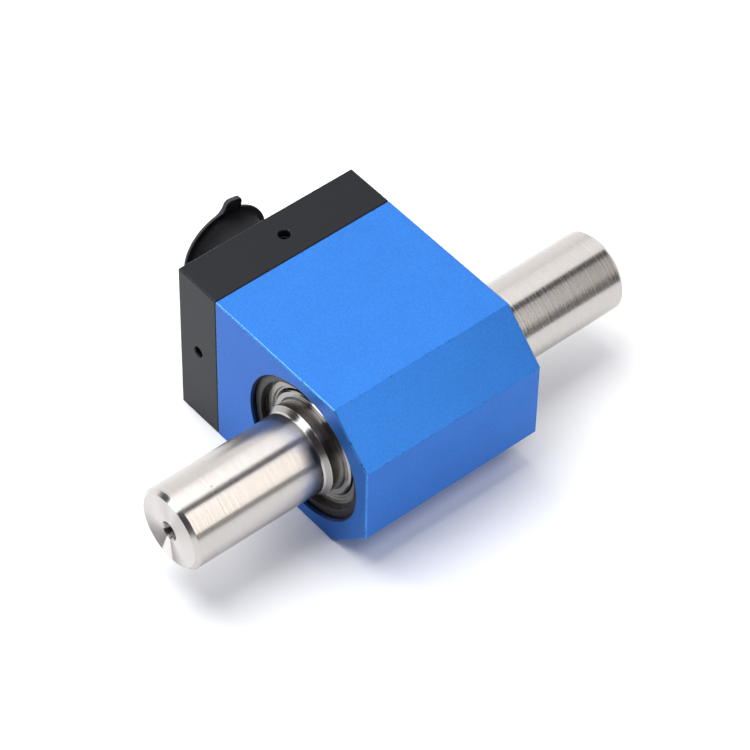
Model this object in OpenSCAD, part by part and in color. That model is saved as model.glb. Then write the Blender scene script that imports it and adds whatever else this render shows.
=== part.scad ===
// Rotary torque sensor: a strain-gauged through shaft on two shielded ball
// bearings in a block housing, with an electronics cover and a capped socket.
// X runs along the shaft, Y towards the socket and Z up. The origin lies on
// the resting face, below the middle of the shaft axis.

/* [Housing] */
// Length of the housing along the shaft
body_l = 44.5; // [42:0.5:60]
// Height of the housing and of the cover
body_h = 39; // [37:0.5:50]
// Shaft axis to the plain base face
base_to_axis = 19.5; // [18.5:0.5:30]
// Shaft axis to the joint with the cover
joint_to_axis = 27.2; // [25:0.2:36]
// Large 45 degree cut along both base edges, measured on the base face
corner_cut = 10; // [4:0.5:12]
// Small break on the outer edges of housing and cover
edge_break = 0.2; // [0.1:0.05:0.8]
// Chamfer at the mouth of each bearing seat
mouth_break = 0.4; // [0.2:0.1:0.8]
// Step in the bore that stops each outer ring
seat_shoulder = 1; // [0.6:0.1:1.4]
// Wall between the bearing seats and the electronics pocket
roof_t = 3.2; // [2:0.2:5]
// Wall of the spigot that the cover slides over
spigot_wall = 3; // [2:0.25:3.5]
// Corner radius inside the electronics pocket
pocket_corner = 1.5; // [1:0.25:3]
// Width of the slot that takes the coil leads up to the board
lead_slot_w = 4; // [3:0.25:6]

/* [Cover] */
// Thickness of the cover along Y
cover_t = 11.8; // [10.5:0.1:18]
// Side wall of the cover
cover_wall = 4; // [3:0.25:5]
// Panel that carries the socket
cover_panel = 3; // [2:0.25:4]
// Diameter of the set screws in the cover's sides
set_screw_d = 2.5; // [2:0.25:3.5]
// Depth of each set screw below the cover's side
set_screw_sink = 1.6; // [0.5:0.1:1.8]
// Hexagon of the set screw socket, across flats
set_screw_hex = 1.3; // [0.9:0.1:1.6]
// Countersink at each set screw hole
set_screw_sink_break = 0.2; // [0.1:0.05:0.5]

/* [Shaft] */
// Diameter of both shaft ends
shaft_d = 18; // [14:0.5:20]
// Length of each plain shaft end beyond its collar
shaft_end_l = 31.5; // [15:0.1:60]
// Chamfer at the shaft's tips
shaft_tip = 0.9; // [0.3:0.1:2]
// Rise from the shaft end to the bearing seat
collar_step = 1; // [0.5:0.1:2]
// How far the collar stands out of the housing
collar_out = 0.6; // [0.2:0.1:3]
// Rise from the bearing seat to the rotor seat
rotor_step = 1; // [0.6:0.1:1.4]
// Diameter of the thin measuring section
gauge_d = 14; // [9:0.5:16]
// Fillet at both ends of the measuring section
gauge_fillet = 1.2; // [0.5:0.1:1.5]
// Pilot of the centre holes in the shaft ends
centre_d = 2; // [1:0.25:2.5]
// Mouth of the centre holes
centre_mouth_d = 4.4; // [3:0.1:6]
// Depth of the pilot below the cone
centre_depth = 2.5; // [1:0.5:5]
// Relief groove at the root of each shaft end, width
root_groove_w = 0.5; // [0.2:0.1:1.5]
// Relief groove at the root of each shaft end, depth
root_groove_t = 0.15; // [0.05:0.05:0.5]

/* [Bearings] */
// Radial height of a bearing, bore to outside
bearing_section = 6; // [5.5:0.25:7]
// Width of a bearing
bearing_w = 7; // [6:0.5:8]
// Chamfer on the rings' corners
ring_edge = 0.35; // [0.1:0.05:0.5]
// Half of the radial gap between the ring lands
land_gap = 1.3; // [1.1:0.05:1.4]
// Ball diameter
ball_d = 3.5; // [3:0.1:3.8]
// Balls in each bearing
ball_count = 12; // [8:1:14]
// Radial play of the balls in their grooves
ball_gap = 0.06; // [0.02:0.01:0.1]
// Radial thickness of the ball cage
cage_t = 1.1; // [0.8:0.1:1.4]
// Wall of the cage beside each ball
cage_rim = 0.45; // [0.3:0.05:0.6]
// Reach of the cage's fingers past the middle of the balls
cage_finger = 1.1; // [0.8:0.1:1.5]
// Thickness of the shields
shield_t = 0.25; // [0.15:0.05:0.3]
// Depth of the shields' rims below the ring faces
shield_sink = 0.65; // [0.5:0.05:0.8]
// Height of the raised band of each shield above its rims
shield_rise = 0.4; // [0.2:0.05:0.45]
// Width of the flat rims beside the raised band
shield_rim = 0.4; // [0.2:0.05:0.5]
// Width of the slope up to the raised band
shield_slope = 0.2; // [0.1:0.05:0.3]
// Gap between each shield and the inner ring
shield_gap = 0.3; // [0.1:0.05:0.5]
// Step in the outer ring that takes a shield
shield_step = 0.5; // [0.3:0.05:0.6]
// Wire of the spring rings that hold the shields
shield_wire_d = 0.45; // [0.3:0.05:0.5]
// Opening in each shield spring ring, degrees
shield_wire_gap = 5; // [3:1:20]
// Thickness of the preload washer behind the rear bearing
preload_t = 0.5; // [0.3:0.1:1]

/* [Retaining rings] */
// Depth of the rings below the housing faces
clip_sink = 1.1; // [0.6:0.1:2]
// Thickness of a ring
clip_t = 1.2; // [1:0.1:1.5]
// Depth of the groove that holds a ring
clip_groove = 0.85; // [0.5:0.05:1]
// Radial width of a ring inside the bore
clip_band = 1.6; // [1.2:0.1:1.8]
// Radius of the two eyes at the ring's gap
clip_eye_r = 1.7; // [1.4:0.1:1.9]
// Holes in the eyes
clip_eye_d = 1.4; // [1:0.1:1.8]
// Angle between the two eyes, degrees
clip_gap = 24; // [20:1:40]
// Turn of the front ring's gap from straight down, degrees
front_clip_turn = 45; // [0:5:355]
// Turn of the rear ring's gap from straight down, degrees
rear_clip_turn = 135; // [0:5:355]

/* [Ring transformers] */
// Radial thickness of the stator cores
stator_t = 1.8; // [1.4:0.1:2.2]
// Running gap between stator and rotor cores
air_gap = 0.3; // [0.2:0.05:0.5]
// Width of a core
core_w = 5.5; // [4:0.5:6]
// Side flange of a core beside its winding
core_flange = 1; // [0.6:0.1:1.5]
// Floor of a core under its winding
core_floor = 0.8; // [0.5:0.1:1]
// Distance of the cores from the bearings
core_inset = 1; // [0.6:0.1:2]
// Rotor seat beyond the core, towards the middle
seat_tail = 0.9; // [0.4:0.1:2]
// Diameter of the coil leads
coil_lead_d = 0.7; // [0.4:0.1:1]
// Distance between the two leads of a coil
coil_lead_pitch = 2; // [1.5:0.1:3]

/* [Measuring section] */
// Side of a foil strain gauge
foil_side = 4; // [2:0.5:5]
// Thickness of a foil gauge
foil_t = 0.12; // [0.08:0.02:0.2]
// Thickness of the two half-ring boards on the rotor
rotor_board_t = 1; // [0.6:0.1:1.6]

/* [Main board] */
// Thickness of the board
board_t = 1.6; // [0.8:0.2:2]
// Gap round the board
board_gap = 0.4; // [0.2:0.1:1]
// Height of the bosses under the board
boss_h = 2.5; // [1.5:0.25:4]
// Diameter of the bosses
boss_d = 4.4; // [4:0.1:5.5]
// Distance of the bosses from the board's edges
boss_in = 2.6; // [2.3:0.1:4]
// Diameter of the board screws
board_screw_d = 2; // [1.6:0.2:2.5]
// Depth of the board screws in their bosses
board_screw_in = 3; // [2:0.25:4]
// Screw head diameter
board_head_d = 3.8; // [3:0.1:4.4]
// Screw head height
board_head_h = 1.4; // [0.8:0.1:2]
// Side of the controller chip
chip_side = 7; // [4:0.5:8]
// Length of the two small chips
small_chip_l = 5.6; // [3:0.2:6.4]
// Width of the two small chips
small_chip_w = 4.2; // [2:0.2:4.6]
// Gap between the two small chips
small_chip_gap = 2.8; // [1:0.2:3.2]
// Height of the chips
chip_h = 1.2; // [0.8:0.1:2]
// Diameter of the board's capacitors
cap_d = 4; // [3:0.25:5]
// Height of the board's capacitors
cap_h = 5.4; // [3:0.2:6]

/* [Socket] */
// Diameter of the socket barrel
barrel_d = 16; // [14:0.5:18]
// Length of the barrel beyond its flange
barrel_l = 9.5; // [6:0.5:14]
// Reduction of the socket neck in the panel
neck_step = 0.5; // [0.3:0.1:1]
// Flange overhang beyond the barrel
flange_rise = 1.5; // [1:0.1:1.7]
// Thickness of the flange
flange_t = 1.8; // [1:0.1:3]
// Thickness of the gasket under the flange
gasket_t = 0.6; // [0.3:0.1:1.5]
// Wall of the socket shell at the barrel
shell_wall = 1.4; // [1:0.1:2]
// Depth of the insert below the barrel's mouth
insert_sink = 1; // [0.5:0.1:2]
// Circle of the contacts
contact_ring_d = 8; // [7:0.25:9]
// Number of contacts
contact_count = 5; // [3:1:7]
// Diameter of a contact
contact_d = 1.6; // [1.2:0.1:2]
// Bore of a contact
contact_bore = 1; // [0.6:0.1:1.1]
// Length of the contacts' tails behind the insert
contact_tail = 2.5; // [1:0.25:4]
// Thickness of the panel nut
nut_t = 2.5; // [1.5:0.25:3]
// Panel nut, rise across flats beyond the neck
nut_rise = 2; // [1.5:0.1:2.2]
// Length of the neck past the panel nut
neck_out = 1.2; // [0.6:0.1:1.6]
// Diameter of the wires from board to contacts
wire_d = 1.2; // [0.8:0.1:1.4]

/* [Dust cap] */
// Wall of the cap's skirt
cap_wall = 0.9; // [0.8:0.1:1.6]
// Roof of the cap over the socket
cap_roof = 2; // [1.6:0.1:4]
// Thickness of the cap's disc
cap_disc_t = 0.8; // [0.6:0.1:1.6]
// Overhang of the disc beyond the skirt
cap_lip = 1.5; // [0.8:0.1:2]
// Reach of the pull tab beyond the disc
tab_reach = 2.7; // [1.5:0.1:5]
// Width of the pull tab
tab_w = 4.2; // [3:0.2:8]
// Thickness of the pull tab
tab_t = 1.2; // [0.8:0.1:1.6]
// Rounding of the tab's corners
tab_round = 1.2; // [0.4:0.1:1.4]
// Hollow blend from the disc up one side of the tab
tab_blend = 2.2; // [1:0.1:4]
// Turn of the tab from upright, degrees
tab_turn = 10; // [-45:1:45]

/* [Clearances] */
// Radial gap of a pressed or screwed fit
press_gap = 0.01; // [0.01:0.01:0.03]
// Gap of a sliding fit
slip_gap = 0.05; // [0.03:0.01:0.1]
// Gap between the dust cap and the socket
cap_gap = 0.1; // [0.05:0.01:0.2]
// Clearance of seated but loose pieces
seat_gap = 0.2; // [0.1:0.05:0.3]

/* [Hidden] */
$fn = 96;
FRONT = -1;
REAR = 1;
overcut = 1;

// Shaft axis and housing section
axis_z = body_h / 2;
half_l = body_l / 2;
cover_y = joint_to_axis + cover_t;
section = [
  [corner_cut - base_to_axis, 0],
  [joint_to_axis - edge_break, 0],
  [joint_to_axis, edge_break],
  [joint_to_axis, body_h - edge_break],
  [joint_to_axis - edge_break, body_h],
  [corner_cut - base_to_axis, body_h],
  [-base_to_axis, body_h - corner_cut],
  [-base_to_axis, corner_cut]
];
cover_section = [
  [joint_to_axis + edge_break, 0],
  [cover_y - edge_break, 0],
  [cover_y, edge_break],
  [cover_y, body_h - edge_break],
  [cover_y - edge_break, body_h],
  [joint_to_axis + edge_break, body_h],
  [joint_to_axis, body_h - edge_break],
  [joint_to_axis, edge_break]
];

// Bearing radii and stations
shaft_r = shaft_d / 2;
collar_r = shaft_r + collar_step;
seat_r = collar_r + bearing_section;
pitch_r = collar_r + bearing_section / 2;
inner_land_r = pitch_r - land_gap;
outer_land_r = pitch_r + land_gap;
shield_seat_r = outer_land_r + shield_step;
groove_r = ball_d / 2 + ball_gap;
bearing_sink = clip_sink + clip_t;
bearing_x = half_l - bearing_sink - bearing_w / 2;
inner_x = bearing_x - bearing_w / 2;
clip_r = seat_r + clip_groove;
bore_r = seat_r - seat_shoulder;

// Rotor and stator stations
rotor_seat_r = collar_r + rotor_step;
stator_r = bore_r - stator_t;
rotor_r = stator_r - air_gap;
core_x = inner_x - core_inset - core_w / 2;
gauge_x = inner_x - core_inset - core_w - seat_tail;
gauge_r = gauge_d / 2;
slot_half = core_x + coil_lead_pitch / 2 + lead_slot_w / 2;
tip_x = half_l + collar_out + collar_step + shaft_end_l;

// Electronics space
floor_y = seat_r + roof_t;
spigot_l = body_l - 2 * (cover_wall + slip_gap);
spigot_h = body_h - 2 * (cover_wall + slip_gap);
spigot_y = cover_y - cover_panel - seat_gap;
chamber_l = spigot_l - 2 * spigot_wall;
chamber_h = spigot_h - 2 * spigot_wall;
spigot_corner = pocket_corner + spigot_wall / 2;
set_screw_y = joint_to_axis + cover_t / 2;
board_l = chamber_l - 2 * board_gap;
board_h = chamber_h - 2 * board_gap;
board_y = floor_y + boss_h;
board_top = board_y + board_t;
boss_x = board_l / 2 - boss_in;
boss_z = board_h / 2 - boss_in;

// Socket stations, measured outwards from the cover's face
barrel_r = barrel_d / 2;
neck_r = barrel_r - neck_step;
flange_r = barrel_r + flange_rise;
insert_r = barrel_r - shell_wall;
flange_top = gasket_t + flange_t;
barrel_top = flange_top + barrel_l;
neck_end = -cover_panel - nut_t - neck_out;
insert_top = barrel_top - insert_sink;
tail_end = neck_end - contact_tail;
cap_foot = flange_top + seat_gap;
cap_in_top = barrel_top + seat_gap;
cap_top = cap_in_top + cap_roof;
cap_r = barrel_r + cap_gap + cap_wall;
cap_disc_r = cap_r + cap_lip;
tab_end = cap_disc_r + tab_reach;
blend_y = tab_w / 2 + tab_blend;
blend_x = sqrt(pow(cap_disc_r + tab_blend, 2) - pow(blend_y, 2));

// Places a revolved piece on the shaft axis at station x
module on_shaft(x = 0)
  translate([x, 0, axis_z])
    rotate([0, 90, 0])
      children();

// Places a piece on the socket axis, with its own Z outwards from the cover
module on_socket(z = 0)
  translate([0, cover_y + z, axis_z])
    rotate([-90, 0, 0])
      children();

// Extrudes an X-Z outline from one Y station to another
module along_y(from, to)
  translate([0, from, axis_z])
    rotate([-90, 0, 0])
      linear_extrude(to - from)
        children();

// Builds a piece for the rear end, or its mirror image for the front end
module at_end(end)
  mirror([end == FRONT ? 1 : 0, 0, 0])
    children();

module rounded_rect(w, h, r) {
  square([w - 2 * r, h], center = true);
  square([w, h - 2 * r], center = true);
  for (x = [-1, 1], y = [-1, 1])
    translate([x * (w / 2 - r), y * (h / 2 - r)])
      circle(r);
}

// Ring of width w about its own axis, with broken corners
module ring(r_in, r_out, w, e = 0)
  rotate_extrude()
    polygon([
      [r_in + e, -w / 2], [r_out - e, -w / 2], [r_out, e - w / 2], [r_out, w / 2 - e],
      [r_out - e, w / 2], [r_in + e, w / 2], [r_in, w / 2 - e], [r_in, e - w / 2]
    ]);

function reversed(p) = [for (i = [len(p) - 1 : -1 : 0]) p[i]];

// Housing

// Solid of a convex Y-Z outline along the shaft, with its end edges broken by e.
// Each side of the outline cuts one slab that runs past the whole outline.
module broken_prism(p, l, e) {
  reach = 2 * norm([max([for (q = p) q[0]]) - min([for (q = p) q[0]]), body_h]);
  intersection_for (i = [0 : len(p) - 1]) {
    d = p[(i + 1) % len(p)] - p[i];
    translate([0, p[i][0], p[i][1]])
      rotate([atan2(d[1], d[0]) + 90, 0, 0])
        linear_extrude(2 * reach, center = true)
          polygon([
            [e - l / 2, 0], [l / 2 - e, 0], [l / 2, e],
            [l / 2, reach], [-l / 2, reach], [-l / 2, e]
          ]);
  }
}

module housing_block()
  broken_prism(section, body_l, edge_break);

// Stepped bore of one end: mouth chamfer, ring groove and bearing seat
module seat_cut(end) {
  spare = end == REAR ? preload_t : 0;
  at_end(end)
    on_shaft()
      rotate_extrude()
        polygon([
          [0, inner_x - spare],
          [seat_r + press_gap, inner_x - spare],
          [seat_r + press_gap, half_l - bearing_sink],
          [clip_r, half_l - bearing_sink],
          [clip_r, half_l - clip_sink],
          [seat_r + press_gap, half_l - clip_sink],
          [seat_r + press_gap, half_l - mouth_break],
          [seat_r + press_gap + mouth_break, half_l],
          [seat_r + press_gap + mouth_break, half_l + overcut],
          [0, half_l + overcut]
        ]);
}

module boss_places()
  for (x = [-boss_x, boss_x], z = [-boss_z, boss_z])
    translate([x, 0, z])
      children();

module boss()
  translate([0, floor_y - overcut, axis_z])
    rotate([-90, 0, 0])
      cylinder(d = boss_d, h = boss_h + overcut);

module board_screw_hole(d, from, to)
  translate([0, from, axis_z])
    rotate([-90, 0, 0])
      cylinder(d = d, h = to - from);

module housing()
  color("#4691f3")
    difference() {
      union() {
        difference() {
          union() {
            housing_block();
            along_y(joint_to_axis - overcut, spigot_y)
              rounded_rect(spigot_l, spigot_h, spigot_corner);
          }
          along_y(floor_y, spigot_y + overcut)
            rounded_rect(chamber_l, chamber_h, pocket_corner);
        }
        boss_places()
          boss();
      }
      on_shaft()
        cylinder(r = bore_r, h = body_l, center = true);
      seat_cut(FRONT);
      seat_cut(REAR);
      along_y(0, floor_y + overcut)
        rounded_rect(2 * slot_half, lead_slot_w, lead_slot_w / 2 - slip_gap);
      boss_places()
        board_screw_hole(board_screw_d, board_y - board_screw_in - slip_gap, board_y + overcut);
    }

// Cover

module cover_block()
  broken_prism(cover_section, body_l, edge_break);

// Places a set screw, its own Z out of the middle of each cover side
module at_cover_sides()
  for (side = [[0, half_l], [90, axis_z], [180, half_l], [270, axis_z]])
    translate([0, set_screw_y, axis_z])
      rotate([0, side[0] + 90, 0])
        translate([0, 0, side[1]])
          children();

module end_cover()
  color("#3a393d")
    difference() {
      cover_block();
      along_y(joint_to_axis - overcut, cover_y - cover_panel)
        rounded_rect(spigot_l + 2 * slip_gap, spigot_h + 2 * slip_gap, spigot_corner + slip_gap);
      on_socket(-cover_panel - overcut)
        cylinder(r = neck_r + slip_gap, h = cover_panel + 2 * overcut);
      at_cover_sides() {
        translate([0, 0, -cover_wall - overcut])
          cylinder(d = set_screw_d, h = cover_wall + 2 * overcut);
        translate([0, 0, -set_screw_sink_break])
          cylinder(
            d1 = set_screw_d,
            d2 = set_screw_d + 4 * set_screw_sink_break,
            h = 2 * set_screw_sink_break
          );
      }
    }

module set_screw() {
  l = cover_wall - set_screw_sink + slip_gap;
  translate([0, 0, -set_screw_sink - l])
    difference() {
      rotate_extrude()
        polygon([
          [0, 0],
          [set_screw_d / 4, 0],
          [set_screw_d / 2 - press_gap, set_screw_d / 4],
          [set_screw_d / 2 - press_gap, l - set_screw_sink_break],
          [set_screw_d / 2 - set_screw_sink_break, l],
          [0, l]
        ]);
      translate([0, 0, l / 2])
        cylinder(d = set_screw_hex / cos(30), h = l, $fn = 6);
    }
}

module cover_set_screws()
  color("#1d1d20")
    at_cover_sides()
      set_screw();

// Shaft and rotor

// Half profile of the shaft from its middle to one tip: [radius, station]
shaft_half = concat(
  [[gauge_r, 0]],
  [
    for (a = [0 : 15 : 90])
      [
        gauge_r + gauge_fillet * (1 - cos(a)),
        gauge_x - gauge_fillet + gauge_fillet * sin(a)
      ]
  ],
  [
    [rotor_seat_r, gauge_x],
    [rotor_seat_r, inner_x],
    [collar_r, inner_x],
    [collar_r, half_l + collar_out],
    [shaft_r, half_l + collar_out + collar_step],
    [shaft_r - root_groove_t, half_l + collar_out + collar_step + root_groove_w / 2],
    [shaft_r, half_l + collar_out + collar_step + root_groove_w],
    [shaft_r, tip_x - shaft_tip],
    [shaft_r - shaft_tip, tip_x]
  ]
);

// Countersunk centre hole in one shaft end
module centre_hole(end) {
  cone_h = (centre_mouth_d - centre_d) / 2 / tan(30);
  at_end(end)
    on_shaft(tip_x)
      rotate_extrude()
        polygon([
          [0, -cone_h - centre_depth - centre_d / 2 * tan(30)],
          [centre_d / 2, -cone_h - centre_depth],
          [centre_d / 2, -cone_h],
          [centre_mouth_d / 2, 0],
          [centre_mouth_d / 2, overcut],
          [0, overcut]
        ]);
}

module shaft()
  color("#c9cacc")
    difference() {
      on_shaft()
        rotate_extrude()
          polygon(concat(
            [[0, tip_x], [0, -tip_x]],
            [for (p = reversed(shaft_half)) [p[0], -p[1]]],
            [for (i = [1 : len(shaft_half) - 1]) shaft_half[i]]
          ));
      centre_hole(FRONT);
      centre_hole(REAR);
    }

module strain_gauges()
  color("#b7762e")
    on_shaft()
      for (a = [0 : 90 : 270])
        rotate(a)
          intersection() {
            difference() {
              cylinder(r = gauge_r + press_gap + foil_t, h = foil_side, center = true);
              cylinder(r = gauge_r + press_gap, h = foil_side + overcut, center = true);
            }
            translate([gauge_r, 0, 0])
              cube([gauge_r, foil_side, foil_side + overcut], center = true);
          }

// Two half rings on the inner face of the front rotor seat
module rotor_boards()
  color("#2e6b3f")
    at_end(FRONT)
      on_shaft(gauge_x - rotor_board_t / 2)
        for (a = [0, 180])
          rotate(a)
            intersection() {
              ring(gauge_r + gauge_fillet + seat_gap, rotor_r - seat_gap, rotor_board_t);
              translate([0, rotor_r + slip_gap, 0])
                cube([2 * rotor_r, 2 * rotor_r, 2 * rotor_board_t], center = true);
            }

// Bearings

module inner_ring(end)
  color("#d4d5d8")
    at_end(end)
      on_shaft(bearing_x)
        difference() {
          ring(collar_r + press_gap, inner_land_r, bearing_w, ring_edge);
          rotate_extrude()
            translate([pitch_r, 0])
              circle(groove_r);
        }

module outer_ring(end) {
  w = bearing_w / 2;
  step_w = shield_sink + shield_t;
  color("#c4c5c9")
    at_end(end)
      on_shaft(bearing_x)
        difference() {
          rotate_extrude()
            polygon([
              [shield_seat_r, -w],
              [seat_r - ring_edge, -w],
              [seat_r, ring_edge - w],
              [seat_r, w - ring_edge],
              [seat_r - ring_edge, w],
              [shield_seat_r, w],
              [shield_seat_r, w - step_w],
              [outer_land_r, w - step_w],
              [outer_land_r, step_w - w],
              [shield_seat_r, step_w - w]
            ]);
          rotate_extrude()
            translate([pitch_r, 0])
              circle(groove_r);
        }
}

module ball_places()
  for (i = [0 : ball_count - 1])
    rotate(i * 360 / ball_count)
      translate([pitch_r, 0, 0])
        children();

module balls(end)
  color("#e2e3e6")
    at_end(end)
      on_shaft(bearing_x)
        ball_places()
          sphere(d = ball_d, $fn = 32);

// Crown cage: a rim on one side, with fingers that close a little round each ball
module cage(end)
  color("#8a6f45")
    at_end(end)
      on_shaft(bearing_x)
        difference() {
          translate([0, 0, (cage_finger - groove_r - cage_rim) / 2])
            ring(pitch_r - cage_t / 2, pitch_r + cage_t / 2, groove_r + cage_rim + cage_finger);
          ball_places()
            rotate([0, 90, 0])
              cylinder(r = groove_r, h = 2 * cage_t, center = true);
        }

// Pressed sheet ring: rims low, a raised band between them
module shield() {
  r0 = inner_land_r + shield_gap;
  r1 = shield_seat_r - press_gap;
  band0 = r0 + shield_rim;
  band1 = r1 - shield_wire_d - shield_rim;
  top = [
    [r0, 0], [band0, 0], [band0 + shield_slope, shield_rise],
    [band1 - shield_slope, shield_rise], [band1, 0], [r1, 0]
  ];
  rotate_extrude()
    polygon(concat(top, [for (p = reversed(top)) [p[0], p[1] - shield_t]]));
}

// Repeats a piece on both faces of a bearing, its own Z out of the face
module on_ring_faces(end)
  at_end(end)
    on_shaft(bearing_x)
      for (face = [0, 1])
        mirror([0, 0, face])
          translate([0, 0, bearing_w / 2 - shield_sink])
            children();

module shields(end)
  color("#9b9da3")
    on_ring_faces(end)
      shield();

module shield_springs(end)
  color("#dadbde")
    on_ring_faces(end)
      rotate(shield_wire_gap / 2)
        rotate_extrude(angle = 360 - shield_wire_gap)
          translate([shield_seat_r - press_gap - shield_wire_d / 2, shield_wire_d / 2 + press_gap])
            circle(d = shield_wire_d, $fn = 24);

// Retaining ring: a flat band with two eyes beside its gap
module retaining_ring(end) {
  eye_at = seat_r - clip_eye_r - slip_gap;
  color("#5b5d61")
    at_end(end)
      on_shaft(half_l - bearing_sink)
        rotate(end == FRONT ? front_clip_turn : rear_clip_turn)
          linear_extrude(clip_t)
            difference() {
              union() {
                difference() {
                  circle(clip_r - slip_gap);
                  circle(seat_r - clip_band);
                  polygon([
                    [0, 0],
                    2 * clip_r * [cos(clip_gap / 2), -sin(clip_gap / 2)],
                    2 * clip_r * [cos(clip_gap / 2), sin(clip_gap / 2)]
                  ]);
                }
                for (a = [-1, 1])
                  rotate(a * clip_gap / 2)
                    translate([eye_at, 0])
                      circle(clip_eye_r, $fn = 48);
              }
              for (a = [-1, 1])
                rotate(a * clip_gap / 2)
                  translate([eye_at, 0])
                    circle(d = clip_eye_d, $fn = 32);
            }
}

module preload_washer()
  color("#8f9196")
    on_shaft(inner_x - preload_t / 2)
      ring(bore_r + slip_gap, seat_r - slip_gap, preload_t);

// Ring transformers

module stator_core(end)
  color("#4a4644")
    at_end(end)
      on_shaft(core_x)
        rotate_extrude()
          polygon([
            [stator_r, -core_w / 2],
            [bore_r - press_gap, -core_w / 2],
            [bore_r - press_gap, core_w / 2],
            [stator_r, core_w / 2],
            [stator_r, core_w / 2 - core_flange],
            [bore_r - core_floor, core_w / 2 - core_flange],
            [bore_r - core_floor, core_flange - core_w / 2],
            [stator_r, core_flange - core_w / 2]
          ]);

module stator_winding(end)
  color("#b06a35")
    at_end(end)
      on_shaft(core_x)
        ring(stator_r + slip_gap, bore_r - core_floor - press_gap, core_w - 2 * core_flange - 2 * press_gap);

module rotor_core(end)
  color("#4a4644")
    at_end(end)
      on_shaft(core_x)
        rotate_extrude()
          polygon([
            [rotor_seat_r + press_gap, -core_w / 2],
            [rotor_r, -core_w / 2],
            [rotor_r, core_flange - core_w / 2],
            [rotor_seat_r + core_floor, core_flange - core_w / 2],
            [rotor_seat_r + core_floor, core_w / 2 - core_flange],
            [rotor_r, core_w / 2 - core_flange],
            [rotor_r, core_w / 2],
            [rotor_seat_r + press_gap, core_w / 2]
          ]);

module rotor_winding(end)
  color("#b06a35")
    at_end(end)
      on_shaft(core_x)
        ring(rotor_seat_r + core_floor + press_gap, rotor_r - slip_gap, core_w - 2 * core_flange - 2 * press_gap);

// Two straight leads from each stator up to the board
module coil_leads()
  color("#a8632f")
    for (end = [FRONT, REAR], side = [-1, 1])
      translate([end * core_x + side * coil_lead_pitch / 2, bore_r, axis_z])
        rotate([-90, 0, 0])
          cylinder(d = coil_lead_d, h = board_y - bore_r, $fn = 24);

// Main board

module main_board()
  color("#2e6b3f")
    difference() {
      along_y(board_y, board_top)
        rounded_rect(board_l, board_h, pocket_corner);
      boss_places()
        board_screw_hole(board_screw_d + 2 * slip_gap, board_y - overcut, board_top + overcut);
    }

module board_screws()
  color("#b9bbc0")
    boss_places()
      translate([0, board_y - board_screw_in, axis_z])
        rotate([-90, 0, 0])
          difference() {
            rotate_extrude()
              polygon([
                [0, 0],
                [board_screw_d / 2 - press_gap, 0],
                [board_screw_d / 2 - press_gap, board_screw_in + board_t],
                [board_head_d / 2, board_screw_in + board_t],
                [board_head_d / 2, board_screw_in + board_t + board_head_h / 2],
                [board_head_d / 4, board_screw_in + board_t + board_head_h],
                [0, board_screw_in + board_t + board_head_h]
              ]);
            translate([0, 0, board_screw_in + board_t + board_head_h])
              for (a = [0, 90])
                rotate(a)
                  cube([board_head_d / 2, board_head_d / 8, board_head_h], center = true);
          }

// Stands a piece on the board at x, z from the socket axis
module on_board(x, z)
  translate([x, board_top, axis_z + z])
    rotate([-90, 0, 0])
      children();

module board_chips()
  color("#26272a") {
    x = (contact_ring_d / 2 + board_l / 2) / 2 + wire_d / 2;
    on_board(-x, 0)
      translate([0, 0, chip_h / 2])
        cube([chip_side, chip_side, chip_h], center = true);
    for (z = [-1, 1])
      on_board(x, z * (small_chip_w + small_chip_gap) / 2)
        translate([0, 0, chip_h / 2])
          cube([small_chip_l, small_chip_w, chip_h], center = true);
  }

module board_capacitors()
  color("#c8a15a")
    for (z = [-1, 1])
      on_board(0, z * (board_h / 2 - cap_d / 2 - board_gap))
        cylinder(d = cap_d, h = cap_h);

// Socket

module socket_shell()
  color("#b4b6ba")
    on_socket()
      difference() {
        rotate_extrude()
          polygon([
            [insert_r + slip_gap, neck_end],
            [neck_r, neck_end],
            [neck_r, gasket_t],
            [flange_r, gasket_t],
            [flange_r, flange_top],
            [barrel_r, flange_top],
            [barrel_r, barrel_top - edge_break],
            [barrel_r - edge_break, barrel_top],
            [insert_r + slip_gap, barrel_top]
          ]);
        for (side = [-1, 1])
          translate([side * 2 * flange_r - side * flange_rise / 2, 0, gasket_t + flange_t / 2])
            cube([2 * flange_r, 3 * flange_r, flange_t + 2 * slip_gap], center = true);
      }

module socket_gasket()
  color("#1b1b1c")
    on_socket(gasket_t / 2)
      ring(neck_r + slip_gap, flange_r - flange_rise / 2, gasket_t);

module socket_nut()
  color("#b4b6ba")
    on_socket(-cover_panel - nut_t)
      difference() {
        cylinder(r = (neck_r + nut_rise) / cos(30), h = nut_t, $fn = 6);
        translate([0, 0, -overcut])
          cylinder(r = neck_r + press_gap, h = nut_t + 2 * overcut);
      }

module contact_places()
  for (i = [0 : contact_count - 1])
    rotate(i * 360 / contact_count)
      translate([contact_ring_d / 2, 0, 0])
        children();

module socket_insert()
  color("#222326")
    on_socket()
      difference() {
        translate([0, 0, neck_end])
          cylinder(r = insert_r, h = insert_top - neck_end);
        contact_places()
          translate([0, 0, neck_end - overcut])
            cylinder(d = contact_d + 2 * press_gap, h = insert_top - neck_end + 2 * overcut, $fn = 32);
        translate([0, insert_r, insert_top])
          cube([contact_d, contact_d, 2 * contact_tail], center = true);
      }

module socket_contacts()
  color("#d2a93f")
    on_socket()
      contact_places()
        difference() {
          translate([0, 0, tail_end])
            cylinder(d = contact_d, h = insert_top - tail_end, $fn = 32);
          translate([0, 0, insert_top - barrel_l / 2])
            cylinder(d = contact_bore, h = barrel_l, $fn = 32);
        }

// Straight wires from the board to the contacts' tails
module socket_wires()
  color("#7b3b3b")
    on_socket()
      contact_places()
        translate([0, 0, board_top - cover_y])
          cylinder(d = wire_d, h = tail_end - board_top + cover_y, $fn = 24);

// Dust cap

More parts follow.
